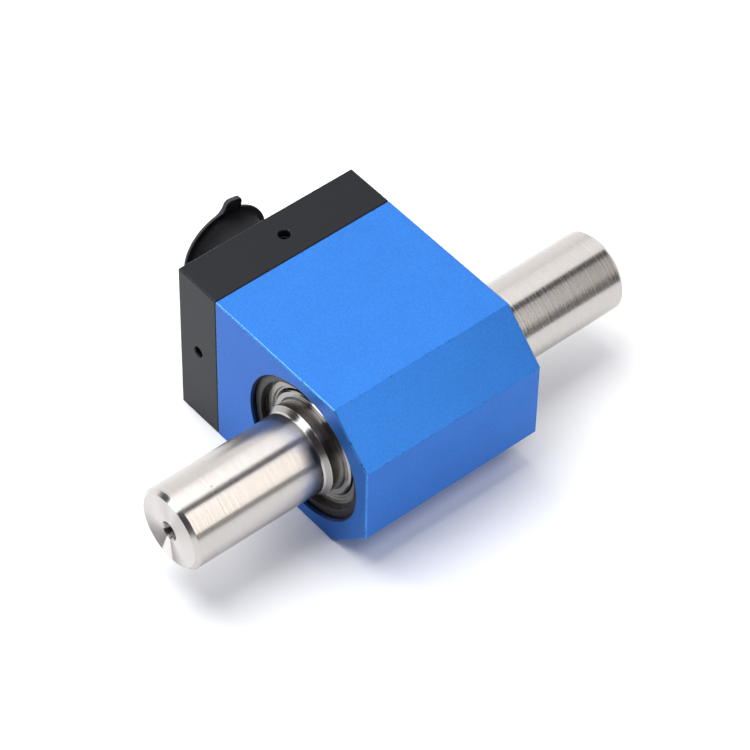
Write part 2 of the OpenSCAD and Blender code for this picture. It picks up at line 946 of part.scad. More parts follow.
// Tab along +X with two rounded corners
module tab_outline() {
  translate([0, -tab_w / 2])
    square([tab_end - tab_round, tab_w]);
  translate([0, tab_round - tab_w / 2])
    square([tab_end, tab_w - 2 * tab_round]);
  for (y = [-1, 1])
    translate([tab_end - tab_round, y * (tab_w / 2 - tab_round)])
      circle(tab_round);
}

// Web that rounds the corner between the disc and one side of the tab
module tab_web()
  difference() {
    polygon([[0, 0], [blend_x, -blend_y], [blend_x, 0]]);
    translate([blend_x, -blend_y])
      circle(tab_blend);
  }

module dust_cap()
  color("#2b2b2d")
    on_socket()
      difference() {
        union() {
          translate([0, 0, cap_top - cap_disc_t])
            linear_extrude(cap_disc_t) {
              circle(cap_disc_r);
              rotate(tab_turn - 90)
                tab_web();
            }
          translate([0, 0, cap_top - tab_t])
            linear_extrude(tab_t)
              difference() {
                rotate(tab_turn - 90)
                  tab_outline();
                circle(cap_disc_r - cap_lip / 3);
              }
          translate([0, 0, cap_foot])
            cylinder(r = cap_r, h = cap_top - cap_foot - cap_disc_t / 2);
        }
        translate([0, 0, cap_foot - overcut])
          cylinder(r = barrel_r + cap_gap, h = cap_in_top - cap_foot + overcut);
      }

housing();
end_cover();
cover_set_screws();
shaft();
strain_gauges();
rotor_boards();
inner_ring(FRONT);  // front_inner_ring
outer_ring(FRONT);  // front_outer_ring
balls(FRONT);  // front_balls
cage(FRONT);  // front_cage
shields(FRONT);  // front_shields
shield_springs(FRONT);  // front_shield_springs
retaining_ring(FRONT);  // front_retaining_ring
inner_ring(REAR);  // rear_inner_ring
outer_ring(REAR);  // rear_outer_ring
balls(REAR);  // rear_balls
cage(REAR);  // rear_cage
shields(REAR);  // rear_shields
shield_springs(REAR);  // rear_shield_springs
retaining_ring(REAR);  // rear_retaining_ring
preload_washer();
stator_core(FRONT);  // power_stator_core
stator_winding(FRONT);  // power_stator_winding
rotor_core(FRONT);  // power_rotor_core
rotor_winding(FRONT);  // power_rotor_winding
stator_core(REAR);  // signal_stator_core
stator_winding(REAR);  // signal_stator_winding
rotor_core(REAR);  // signal_rotor_core
rotor_winding(REAR);  // signal_rotor_winding
coil_leads();
main_board();
board_screws();
board_chips();
board_capacitors();
socket_shell();
socket_gasket();
socket_nut();
socket_insert();
socket_contacts();
socket_wires();
dust_cap();
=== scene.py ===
"""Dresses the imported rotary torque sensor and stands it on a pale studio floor."""
import logging
import math
from dataclasses import dataclass, field
from enum import Enum
from typing import Sequence

import bpy
from mathutils import Matrix, Vector


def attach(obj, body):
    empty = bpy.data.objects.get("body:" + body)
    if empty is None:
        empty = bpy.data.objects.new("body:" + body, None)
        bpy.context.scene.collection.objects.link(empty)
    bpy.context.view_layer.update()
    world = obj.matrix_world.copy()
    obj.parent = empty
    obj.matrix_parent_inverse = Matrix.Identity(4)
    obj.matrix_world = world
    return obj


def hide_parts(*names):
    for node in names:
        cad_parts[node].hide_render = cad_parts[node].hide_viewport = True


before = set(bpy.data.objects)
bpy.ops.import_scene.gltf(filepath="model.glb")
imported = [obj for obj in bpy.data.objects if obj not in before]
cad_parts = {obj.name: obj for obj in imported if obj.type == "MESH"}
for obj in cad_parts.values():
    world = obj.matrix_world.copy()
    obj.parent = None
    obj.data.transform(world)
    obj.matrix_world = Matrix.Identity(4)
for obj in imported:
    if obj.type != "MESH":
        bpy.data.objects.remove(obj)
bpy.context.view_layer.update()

MM = 0.001
AXIS_Z = 19.5 * MM
SQUARE = ((-1, -1), (1, -1), (1, 1), (-1, 1))
# Most values of a noise pattern lie between these two.
NOISE_LOW = 0.3
NOISE_HIGH = 0.7
BEVEL_SAMPLES = 4
QUARTER_TURN = 0.25
# A wave texture repeats this many times over one unit of its scale.
WAVE_RATE = 20 / math.tau
log = logging.getLogger("torque_sensor")

Tree = bpy.types.NodeTree
Node = bpy.types.Node
Socket = bpy.types.NodeSocket
Colour = tuple[float, float, float, float]
Point = tuple[float, float, float]
Ring = list[Point]


class Turning(Enum):
    """Line that a turned or drawn surface goes round: a point on it and the plane across it."""

    SHAFT = ((0.0, 0.0, AXIS_Z), (0.0, 1.0, 1.0), "X")
    SOCKET = ((0.0, 0.0, AXIS_Z), (1.0, 0.0, 1.0), "Y")

    @property
    def point(self) -> Point:
        """A point on the line, in metres."""
        return self.value[0]

    @property
    def across(self) -> Point:
        """Ones for the two axes across the line."""
        return self.value[1]

    @property
    def letter(self) -> str:
        """Letter of the axis that the line runs along."""
        return self.value[2]

    def measure(self, tree: Tree, place: Socket) -> tuple[Socket, Socket]:
        """Measures where the surface lies from the line.

        Args:
            tree: node tree of the material.
            place: position on the object, in metres.

        Returns:
            Position from the line's own point, and distance from the line, in metres.
        """
        offset = add(tree, "ShaderNodeVectorMath", {
            0: place, 1: self.point,
        }, operation="SUBTRACT").outputs["Vector"]
        flat = add(tree, "ShaderNodeVectorMath", {
            0: offset, 1: self.across,
        }, operation="MULTIPLY").outputs["Vector"]
        distance = add(tree, "ShaderNodeVectorMath", {0: flat}, operation="LENGTH").outputs["Value"]
        return offset, distance


class End(Enum):
    """The two ends of the shaft."""

    FRONT = "front"
    REAR = "rear"


def linear(code: str) -> Colour:
    """Turns an sRGB hex colour to linear light.

    Args:
        code: colour as #rrggbb.

    Returns:
        Linear red, green and blue, with full opacity.
    """
    parts = [int(code[i:i + 2], 16) / 255 for i in (1, 3, 5)]
    red, green, blue = (c / 12.92 if c <= 0.04045 else ((c + 0.055) / 1.055) ** 2.4 for c in parts)
    return red, green, blue, 1.0


def per_metre(size_mm: float) -> float:
    """Texture scale that makes one feature of a pattern this many millimetres wide."""
    return 1.0 / (size_mm * MM)


def add(tree: Tree, kind: str, inputs: dict | None = None, **settings: object) -> Node:
    """Adds a node to a material.

    Args:
        tree: node tree of the material.
        kind: Blender's name for the node.
        inputs: value or linked socket for each input, by name or number.
        settings: other properties of the node.

    Returns:
        The new node.
    """
    node = tree.nodes.new(kind)
    for name, value in settings.items():
        setattr(node, name, value)
    for name, value in (inputs or {}).items():
        if isinstance(value, Socket):
            tree.links.new(value, node.inputs[name])
        else:
            node.inputs[name].default_value = value
    return node


@dataclass(frozen=True)
class Finish:
    """A surface finish, which makes one procedural material."""

    name: str
    colour: str
    metallic: float
    roughness: float

    def make(self) -> bpy.types.Material:
        """Makes the material with its pattern.

        Returns:
            The material, ready for an object's slots.
        """
        material = bpy.data.materials.new(self.name)
        material.use_nodes = True
        material.diffuse_color = linear(self.colour)
        tree = material.node_tree
        tree.nodes.clear()
        shader = add(tree, "ShaderNodeBsdfPrincipled", {
            "Base Color": linear(self.colour), "Metallic": self.metallic, "Roughness": self.roughness,
        })
        add(tree, "ShaderNodeOutputMaterial", {"Surface": shader.outputs["BSDF"]})
        place = add(tree, "ShaderNodeTexCoord").outputs["Object"]
        self.pattern(tree, shader, place)
        return material

    def pattern(self, tree: Tree, shader: Node, place: Socket) -> None:
        """Adds what the real surface shows; each kind of finish has its own.

        Args:
            tree: node tree of the material.
            shader: the surface shader.
            place: position on the object, in metres.
        """
        raise NotImplementedError


@dataclass(frozen=True)
class BlastedAnodised(Finish):
    """Aluminium, bead blasted and then dyed and sealed: a soft sheen over an even fine grain."""

    grain_mm: float = 0.36
    grain_height_mm: float = 0.03
    grain_depth: float = 0.12
    cloud_mm: float = 7.0
    grain_shade: float = 0.1
    cloud_shade: float = 0.025
    gloss: float = 0.16
    graze: str = "#ffffff"
    # Colour of the painted highlight on the edges round the ends.
    edge: str = "#7cc0ff"
    edge_mm: float = 0.2
    edge_highlight_share: float = 0.8
    rim_from: float = 0.998
    rim_full: float = 0.96
    lean_from: float = 0.05
    lean_full: float = 0.25
    nick: str = "#12305c"
    nick_mm: float = 0.9
    nick_reach_mm: float = 0.5
    nick_share: float = 0.59
    nick_fade: float = 0.06
    nick_cover: float = 0.8
    bore_mm: float = 0.0
    bore_fade_mm: float = 0.02
    # How dark the painted shade inside the bore is.
    bore_painted_shade: float = 0.12
    mouth_mm: float = 0.3

    def pattern(self, tree: Tree, shader: Node, place: Socket) -> None:
        """Blast grain, a faint cloud in the dye, metallic end edges with a painted highlight, small nicks,
        painted shade in the bore.

        Args:
            tree: node tree of the material.
            shader: the surface shader.
            place: position on the object, in metres.
        """
        shader.inputs["Specular IOR Level"].default_value = self.gloss
        shader.inputs["Specular Tint"].default_value = linear(self.graze)
        # The beads leave dents of 0.05 mm; they are drawn coarser, at grain_mm, so that they show.
        grain = add(tree, "ShaderNodeTexNoise", {
            "Vector": place, "Scale": per_metre(self.grain_mm), "Detail": 2.0, "Roughness": 0.6,
        }).outputs["Fac"]
        cloud = add(tree, "ShaderNodeTexNoise", {
            "Vector": place, "Scale": per_metre(self.cloud_mm), "Detail": 3.0,
        }).outputs["Fac"]
        soft_edge = add(tree, "ShaderNodeBevel", {
            "Radius": self.edge_mm * MM,
        }, samples=BEVEL_SAMPLES).outputs["Normal"]
        bump = add(tree, "ShaderNodeBump", {
            "Height": grain, "Normal": soft_edge,
            "Strength": self.grain_depth, "Distance": self.grain_height_mm * MM,
        }).outputs["Normal"]
        tree.links.new(bump, shader.inputs["Normal"])

        speckle = add(tree, "ShaderNodeMapRange", {
            "Value": grain, "From Min": NOISE_LOW, "From Max": NOISE_HIGH,
            "To Min": 1.0 - self.grain_shade, "To Max": 1.0 + self.grain_shade,
        }).outputs["Result"]
        dye = add(tree, "ShaderNodeMapRange", {
            "Value": cloud, "From Min": NOISE_LOW, "From Max": NOISE_HIGH,
            "To Min": 1.0 - self.cloud_shade, "To Max": 1.0 + self.cloud_shade,
        }).outputs["Result"]
        tint = add(tree, "ShaderNodeMath", {0: speckle, 1: dye}, operation="MULTIPLY").outputs["Value"]
        # Painted shade: the colour inside the bore is darkened.
        _, radius = Turning.SHAFT.measure(tree, place)
        bore_shade_factor = add(tree, "ShaderNodeMapRange", {
            "Value": radius,
            "From Min": self.bore_mm * MM, "From Max": (self.bore_mm + self.bore_fade_mm) * MM,
            "To Min": self.bore_painted_shade, "To Max": 1.0,
        }).outputs["Result"]
        tint_with_bore_shade = add(tree, "ShaderNodeMath", {0: tint, 1: bore_shade_factor}, operation="MULTIPLY").outputs["Value"]
        body = add(tree, "ShaderNodeVectorMath", {
            0: linear(self.colour)[:3], "Scale": tint_with_bore_shade,
        }, operation="SCALE").outputs["Vector"]

        # The edges round the ends are made metallic, so that they mirror a light as bare metal does, and they
        # get a painted highlight in a pale colour.
        true_normal = add(tree, "ShaderNodeNewGeometry").outputs["True Normal"]
        rim = self.rim(tree, soft_edge, true_normal)
        outside = add(tree, "ShaderNodeMapRange", {
            "Value": radius,
            "From Min": (self.bore_mm + self.mouth_mm) * MM,
            "From Max": (self.bore_mm + 2 * self.mouth_mm) * MM,
            "To Min": 0.0, "To Max": self.edge_highlight_share,
        }).outputs["Result"]
        lean = add(tree, "ShaderNodeSeparateXYZ", {"Vector": soft_edge}).outputs["X"]
        lean_size = add(tree, "ShaderNodeMath", {0: lean}, operation="ABSOLUTE").outputs["Value"]
        at_end = add(tree, "ShaderNodeMapRange", {
            "Value": lean_size, "From Min": self.lean_from, "From Max": self.lean_full,
            "To Min": 0.0, "To Max": 1.0,
        }).outputs["Result"]
        end_rim = add(tree, "ShaderNodeMath", {0: rim, 1: at_end}, operation="MULTIPLY").outputs["Value"]
        rubbed_and_highlight = add(tree, "ShaderNodeMath", {0: end_rim, 1: outside}, operation="MULTIPLY").outputs["Value"]
        metal = add(tree, "ShaderNodeMath", {
            0: rubbed_and_highlight, 1: self.metallic,
        }, operation="MAXIMUM").outputs["Value"]
        tree.links.new(metal, shader.inputs["Metallic"])
        edge_highlighted = add(tree, "ShaderNodeMix", {
            "Factor": rubbed_and_highlight, "A": body, "B": linear(self.edge),
        }, data_type="RGBA").outputs["Result"]
        wide_edge = add(tree, "ShaderNodeBevel", {
            "Radius": self.nick_reach_mm * MM,
        }, samples=BEVEL_SAMPLES).outputs["Normal"]
        chips = add(tree, "ShaderNodeTexNoise", {
            "Vector": place, "Scale": per_metre(self.nick_mm), "Detail": 2.0,
        }).outputs["Fac"]
        chipped = add(tree, "ShaderNodeMapRange", {
            "Value": chips, "From Min": self.nick_share, "From Max": self.nick_share + self.nick_fade,
            "To Min": 0.0, "To Max": self.nick_cover,
        }).outputs["Result"]
        nicked = add(tree, "ShaderNodeMath", {
            0: self.rim(tree, wide_edge, true_normal), 1: chipped,
        }, operation="MULTIPLY").outputs["Value"]
        mixed = add(tree, "ShaderNodeMix", {
            "Factor": nicked, "A": edge_highlighted, "B": linear(self.nick),
        }, data_type="RGBA").outputs["Result"]
        tree.links.new(mixed, shader.inputs["Base Color"])

    def rim(self, tree: Tree, rounded: Socket, true_normal: Socket) -> Socket:
        """Finds the strip along the edges.

        Args:
            tree: node tree of the material.
            rounded: normal of the surface as if its edges were rounded.
            true_normal: normal of the surface as it is.

        Returns:
            One on an edge, falling to nought on the flats.
        """
        facing = add(tree, "ShaderNodeVectorMath", {
            0: rounded, 1: true_normal,
        }, operation="DOT_PRODUCT").outputs["Value"]
        return add(tree, "ShaderNodeMapRange", {
            "Value": facing, "From Min": self.rim_from, "From Max": self.rim_full,
            "To Min": 0.0, "To Max": 1.0,
        }).outputs["Result"]


@dataclass(frozen=True)
class TurnedSteel(Finish):
    """Steel, turned or ground round an axis: fine rings that stretch each reflection along the axis."""

    turning: Turning = Turning.SHAFT
    ring_mm: float = 0.7
    ring_depth: float = 0.1
    ring_height_mm: float = 0.12
    ring_low: float = 0.35
    ring_high: float = 0.65
    edge_mm: float = 0.12
    streak_mm: float = 0.5
    streak_stretch: float = 0.15
    streak_low: float = 0.38
    streak_high: float = 0.62
    streak_floor: float = 0.2
    spread: float = 0.5
    face_from: float = 0.9
    face_full: float = 0.95
    face_spread: float = 0.8
    face_roughness: float = 0.0
    shade: float = 0.04
    pit_mm: float = 0.0
    pit_pitch_mm: float = 5.0
    pit_shade: float = 0.45
    wear: float = 0.25
    wear_less: float = 0.7
    wear_more: float = 1.4
    front_calm: float = 1.0
    calm_reach_mm: float = 20.0
    centre_mm: float = 0.0
    centre_fade_mm: float = 0.2
    centre_painted_shade: float = 0.4
    slope_mm: float = 0.0
    slope_reach_mm: float = 0.42
    slope_painted_shade: float = 0.4
    fan_from: float = 0.95
    fan_full: float = 0.99
    # Degrees round the end, and the tone of the painted reflection there.
    fan: tuple[tuple[float, float], ...] = ()

    def pattern(self, tree: Tree, shader: Node, place: Socket) -> None:
        """Tool rings by distance along and from the axis, streaks in the polish and a few pits.

        Args:
            tree: node tree of the material.
            shader: the surface shader.
            place: position on the object, in metres.
        """
        offset, radius = self.turning.measure(tree, place)
        parts = add(tree, "ShaderNodeSeparateXYZ", {"Vector": offset})
        rings_at = add(tree, "ShaderNodeCombineXYZ", {
            "X": parts.outputs[self.turning.letter], "Y": radius,
        }).outputs["Vector"]
        # Feed marks are about 0.05 mm apart; they are drawn from ring_mm down, so that the coarse ones show.
        rings = add(tree, "ShaderNodeTexNoise", {
            "Vector": rings_at, "Scale": per_metre(self.ring_mm), "Detail": 4.0, "Roughness": 0.65,
        }, noise_dimensions="2D").outputs["Fac"]
        # Streaks start and stop on their way round, as the polishing cloth left them.
        stretched = add(tree, "ShaderNodeVectorMath", {
            0: place, 1: tuple(1.0 if a == 0.0 else self.streak_stretch for a in self.turning.across),
        }, operation="MULTIPLY").outputs["Vector"]
        streaks = add(tree, "ShaderNodeTexNoise", {
            "Vector": stretched, "Scale": per_metre(self.streak_mm), "Detail": 3.0, "Roughness": 0.6,
        }).outputs["Fac"]
        broken = add(tree, "ShaderNodeMapRange", {
            "Value": streaks, "From Min": self.streak_low, "From Max": self.streak_high,
            "To Min": self.streak_floor, "To Max": 1.0,
        }).outputs["Result"]
        # The front end was polished longer than the rear one, so its rings are fainter.
        calm = add(tree, "ShaderNodeMapRange", {
            "Value": parts.outputs["X"],
            "From Min": -self.calm_reach_mm * MM, "From Max": self.calm_reach_mm * MM,
            "To Min": self.front_calm, "To Max": 1.0,
        }).outputs["Result"]
        share = add(tree, "ShaderNodeMath", {0: calm, 1: broken}, operation="MULTIPLY").outputs["Value"]
        rings = add(tree, "ShaderNodeMix", {
            "Factor": share, "A": 0.5, "B": rings,
        }, data_type="FLOAT").outputs["Result"]
        soft_edge = add(tree, "ShaderNodeBevel", {
            "Radius": self.edge_mm * MM,
        }, samples=BEVEL_SAMPLES).outputs["Normal"]
        bump = add(tree, "ShaderNodeBump", {
            "Height": rings, "Normal": soft_edge,
            "Strength": self.ring_depth, "Distance": self.ring_height_mm * MM,
        }).outputs["Normal"]
        tree.links.new(bump, shader.inputs["Normal"])
        tangent = add(tree, "ShaderNodeTangent", direction_type="RADIAL", axis=self.turning.letter)
        tree.links.new(tangent.outputs["Tangent"], shader.inputs["Tangent"])
        shader.inputs["Anisotropic Rotation"].default_value = QUARTER_TURN

        # A faced end is cut more coarsely than the ground side, so its reflections fan out from the middle.
        normal = add(tree, "ShaderNodeSeparateXYZ", {
            "Vector": add(tree, "ShaderNodeNewGeometry").outputs["True Normal"],
        }).outputs[self.turning.letter]
        end_on = add(tree, "ShaderNodeMath", {0: normal}, operation="ABSOLUTE").outputs["Value"]
        stretch = add(tree, "ShaderNodeMapRange", {
            "Value": end_on, "From Min": self.face_from, "From Max": self.face_full,
            "To Min": self.spread, "To Max": self.face_spread,
        }).outputs["Result"]
        # The even value is also set on the socket itself, under the link. An exporter
        # that can't follow the link still finds the even value.
        shader.inputs["Anisotropic"].default_value = self.spread
        tree.links.new(stretch, shader.inputs["Anisotropic"])
        coarse = add(tree, "ShaderNodeMapRange", {
            "Value": end_on, "From Min": self.face_from, "From Max": self.face_full,
            "To Min": self.roughness, "To Max": self.face_roughness or self.roughness,
        }).outputs["Result"]
        wear = add(tree, "ShaderNodeMapRange", {
            "Value": rings, "From Min": self.ring_low, "From Max": self.ring_high,
            "To Min": 1.0 - self.wear_less * self.wear, "To Max": 1.0 + self.wear_more * self.wear,
        }).outputs["Result"]
        rough = add(tree, "ShaderNodeMath", {0: coarse, 1: wear}, operation="MULTIPLY").outputs["Value"]
        tree.links.new(rough, shader.inputs["Roughness"])

        marks = add(tree, "ShaderNodeMath", {0: rings, 1: streaks}, operation="ADD").outputs["Value"]
        tone = add(tree, "ShaderNodeMapRange", {
            "Value": marks, "From Min": 2 * self.ring_low, "From Max": 2 * self.ring_high,
            "To Min": 1.0 - self.shade, "To Max": 1.0 + self.shade,
        }).outputs["Result"]
        # The feature points of the cells that lie on the surface show as rust pits of about 0.2 mm.
        cells = add(tree, "ShaderNodeTexVoronoi", {
            "Vector": place, "Scale": per_metre(self.pit_pitch_mm),
        }).outputs["Distance"]
        pit_size = self.pit_mm / self.pit_pitch_mm
        pit = add(tree, "ShaderNodeMapRange", {
            "Value": cells, "From Min": pit_size, "From Max": 2 * pit_size + 0.001,
            "To Min": self.pit_shade if self.pit_mm else 1.0, "To Max": 1.0,
        }).outputs["Result"]
        # Painted shade darkens the centre hole.
        centre_hole_shade = add(tree, "ShaderNodeMapRange", {
            "Value": radius,
            "From Min": self.centre_mm * MM, "From Max": (self.centre_mm + self.centre_fade_mm) * MM,
            "To Min": self.centre_painted_shade if self.centre_mm else 1.0, "To Max": 1.0,
        }).outputs["Result"]
        pits_and_shade = add(tree, "ShaderNodeMath", {0: pit, 1: centre_hole_shade}, operation="MULTIPLY").outputs["Value"]
        if self.slope_mm:
            # Painted shade darkens the slope from the shaft up to its collar.
            slope_band = add(tree, "ShaderNodeMath", {
                0: radius, 1: self.slope_mm * MM, 2: self.slope_reach_mm * MM,
            }, operation="COMPARE").outputs["Value"]
            pits_and_shade = add(tree, "ShaderNodeMath", {
                0: slope_band, 1: -self.slope_painted_shade, 2: pits_and_shade,
            }, operation="MULTIPLY_ADD").outputs["Value"]
        tone_and_painted_light = add(tree, "ShaderNodeMath", {0: tone, 1: pits_and_shade}, operation="MULTIPLY").outputs["Value"]
        # Painted reflection: dull and bright sectors on the ends.
        if self.fan:
            tone_and_painted_light = add(tree, "ShaderNodeMath", {
                0: tone_and_painted_light, 1: self.painted_fan(tree, parts, end_on),
            }, operation="MULTIPLY").outputs["Value"]
        body = add(tree, "ShaderNodeVectorMath", {
            0: linear(self.colour)[:3], "Scale": tone_and_painted_light,
        }, operation="SCALE").outputs["Vector"]
        tree.links.new(body, shader.inputs["Base Color"])

    def painted_fan(self, tree: Tree, parts: Node, end_on: Socket) -> Socket:
        """Fan of dull and bright sectors, painted on an end to stand in for its reflections.

        Args:
            tree: node tree of the material.
            parts: position from the axis, split in its three parts.
            end_on: how squarely the surface faces along the axis.

        Returns:
            Tone on an end face, and one elsewhere.
        """
        turn = add(tree, "ShaderNodeMath", {
            0: parts.outputs["Z"], 1: parts.outputs["Y"],
        }, operation="ARCTAN2").outputs["Value"]
        share = add(tree, "ShaderNodeMapRange", {
            "Value": turn, "From Min": -math.pi, "From Max": math.pi, "To Min": 0.0, "To Max": 1.0,
        }).outputs["Result"]
        ramp = add(tree, "ShaderNodeValToRGB", {"Fac": share})
        stops = ramp.color_ramp.elements
        top = max(tone for _, tone in self.fan)
        stops[0].position, stops[1].position = 0.0, 1.0
        plain = self.fan[-1][1] / top
        stops[0].color = stops[1].color = (plain, plain, plain, 1.0)
        for degrees, tone in self.fan:
            stops.new((degrees + 180) / 360).color = (tone / top, tone / top, tone / top, 1.0)
        scaled = add(tree, "ShaderNodeMath", {
            0: ramp.outputs["Color"], 1: top,
        }, operation="MULTIPLY").outputs["Value"]
        face = add(tree, "ShaderNodeMapRange", {
            "Value": end_on, "From Min": self.fan_from, "From Max": self.fan_full,
            "To Min": 0.0, "To Max": 1.0,
        }).outputs["Result"]
        return add(tree, "ShaderNodeMix", {
            "Factor": face, "A": 1.0, "B": scaled,
        }, data_type="FLOAT").outputs["Result"]


@dataclass(frozen=True)
class Speckled(Finish):
    """A moulded, sintered, plated or coated surface: one colour with a fine skin and faint blotches."""

    skin_mm: float = 0.25
    skin_depth: float = 0.1
    skin_height_mm: float = 0.03
    edge_mm: float = 0.15
    blotch_mm: float = 4.0
    shade: float = 0.08
    gloss_change: float = 0.1
    dust: str = "#77777a"
    dust_share: float = 0.0
    dust_from: float = 0.45
    dust_full: float = 0.75

    def pattern(self, tree: Tree, shader: Node, place: Socket) -> None:
        """The skin's bump, and blotches in colour and gloss.

        Args:
            tree: node tree of the material.
            shader: the surface shader.
            place: position on the object, in metres.
        """
        skin = add(tree, "ShaderNodeTexNoise", {
            "Vector": place, "Scale": per_metre(self.skin_mm), "Detail": 2.0,
        }).outputs["Fac"]
        blotch = add(tree, "ShaderNodeTexNoise", {
            "Vector": place, "Scale": per_metre(self.blotch_mm), "Detail": 4.0,
        }).outputs["Fac"]
        soft_edge = add(tree, "ShaderNodeBevel", {
            "Radius": self.edge_mm * MM,
        }, samples=BEVEL_SAMPLES).outputs["Normal"]
        bump = add(tree, "ShaderNodeBump", {
            "Height": skin, "Normal": soft_edge,
            "Strength": self.skin_depth, "Distance": self.skin_height_mm * MM,
        }).outputs["Normal"]
        tree.links.new(bump, shader.inputs["Normal"])
        tone = add(tree, "ShaderNodeMapRange", {
            "Value": blotch, "From Min": NOISE_LOW, "From Max": NOISE_HIGH,
            "To Min": 1.0 - self.shade, "To Max": 1.0 + self.shade,
        }).outputs["Result"]
        body = add(tree, "ShaderNodeVectorMath", {
            0: linear(self.colour)[:3], "Scale": tone,
        }, operation="SCALE").outputs["Vector"]
        dusty = add(tree, "ShaderNodeMapRange", {
            "Value": blotch, "From Min": self.dust_from, "From Max": self.dust_full,
            "To Min": 0.0, "To Max": self.dust_share,
        }).outputs["Result"]
        mixed = add(tree, "ShaderNodeMix", {
            "Factor": dusty, "A": body, "B": linear(self.dust),
        }, data_type="RGBA").outputs["Result"]
        tree.links.new(mixed, shader.inputs["Base Color"])
        rough = add(tree, "ShaderNodeMapRange", {
            "Value": blotch, "From Min": NOISE_LOW, "From Max": NOISE_HIGH,
            "To Min": self.roughness * (1.0 - self.gloss_change),
            "To Max": min(1.0, self.roughness * (1.0 + self.gloss_change)),
        }).outputs["Result"]
        tree.links.new(rough, shader.inputs["Roughness"])


@dataclass(frozen=True)
class MouldedRubber(Speckled):
    """Soft rubber round the socket's line: a painted highlight on its rim, painted shade under its lip."""

    gloss: float = 0.15
    # Colour of the painted highlight on the rim.
    rim: str = "#404043"
    rim_mm: float = 9.8
    rim_fade_mm: float = 0.3
    side_from: float = -0.85
    side_full: float = -0.35
    # Colour of the skirt at the foot, where the painted shade under the lip ends.
    lit_foot_colour: str = "#333336"
    foot_mm: float = 43.0
    lip_mm: float = 50.5

    def pattern(self, tree: Tree, shader: Node, place: Socket) -> None:
        """The moulded skin, with painted shade on the skirt under its lip and a painted highlight on the
        faces that look out from the rim.

        Args:
            tree: node tree of the material.
            shader: the surface shader.
            place: position on the object, in metres.
        """
        super().pattern(tree, shader, place)
        shader.inputs["Specular IOR Level"].default_value = self.gloss
        skin = shader.inputs["Base Color"].links[0].from_socket
        # Painted shade: the skirt is darkest under the lip and lighter towards the foot.
        along = add(tree, "ShaderNodeSeparateXYZ", {"Vector": place}).outputs["Y"]
        lighter_to_foot = add(tree, "ShaderNodeMapRange", {
            "Value": along, "From Min": self.foot_mm * MM, "From Max": self.lip_mm * MM,
            "To Min": 1.0, "To Max": 0.0,
        }).outputs["Result"]
        skirt_with_shade = add(tree, "ShaderNodeMix", {
            "Factor": lighter_to_foot, "A": skin, "B": linear(self.lit_foot_colour),
        }, data_type="RGBA").outputs["Result"]
        _, radius = Turning.SOCKET.measure(tree, place)
        normal = add(tree, "ShaderNodeSeparateXYZ", {
            "Vector": add(tree, "ShaderNodeNewGeometry").outputs["Normal"],
        }).outputs["Y"]
        # Painted highlight: faces past the rim that look out sideways are lighter.
        outer = add(tree, "ShaderNodeMapRange", {
            "Value": radius, "From Min": self.rim_mm * MM, "From Max": (self.rim_mm + self.rim_fade_mm) * MM,
            "To Min": 0.0, "To Max": 1.0,
        }).outputs["Result"]
        sideways = add(tree, "ShaderNodeMapRange", {
            "Value": normal, "From Min": self.side_from, "From Max": self.side_full,
            "To Min": 0.0, "To Max": 1.0,
        }).outputs["Result"]
        painted_rim_highlight = add(tree, "ShaderNodeMath", {0: outer, 1: sideways}, operation="MULTIPLY").outputs["Value"]
        mixed = add(tree, "ShaderNodeMix", {
            "Factor": painted_rim_highlight, "A": skirt_with_shade, "B": linear(self.rim),
        }, data_type="RGBA").outputs["Result"]
        tree.links.new(mixed, shader.inputs["Base Color"])


@dataclass(frozen=True)
class WoundWire(Finish):
    """Enamelled copper wire, wound in even turns: fine ribs with a warm varnished gloss."""

    wire_mm: float = 0.25
    rib_depth: float = 0.6
    rib_height_mm: float = 0.1
    patch_turns: float = 4.0
    shade_low: float = 0.85
    shade_high: float = 1.1

    def pattern(self, tree: Tree, shader: Node, place: Socket) -> None:
        """One rib for each turn of wire, and a small change of tone from turn to turn.

        Args:
            tree: node tree of the material.
            shader: the surface shader.
            place: position on the object, in metres.
        """
        turns = add(tree, "ShaderNodeTexWave", {
            "Vector": place, "Scale": per_metre(self.wire_mm) / WAVE_RATE,
        }, bands_direction="X").outputs["Fac"]
        bump = add(tree, "ShaderNodeBump", {
            "Height": turns, "Strength": self.rib_depth, "Distance": self.rib_height_mm * MM,
        }).outputs["Normal"]
        tree.links.new(bump, shader.inputs["Normal"])
        tone = add(tree, "ShaderNodeTexNoise", {
            "Vector": place, "Scale": per_metre(self.patch_turns * self.wire_mm), "Detail": 2.0,
        }).outputs["Fac"]
        shade = add(tree, "ShaderNodeMapRange", {
            "Value": tone, "From Min": NOISE_LOW, "From Max": NOISE_HIGH,
            "To Min": self.shade_low, "To Max": self.shade_high,
        }).outputs["Result"]
        body = add(tree, "ShaderNodeVectorMath", {
            0: linear(self.colour)[:3], "Scale": shade,
        }, operation="SCALE").outputs["Vector"]
        tree.links.new(body, shader.inputs["Base Color"])


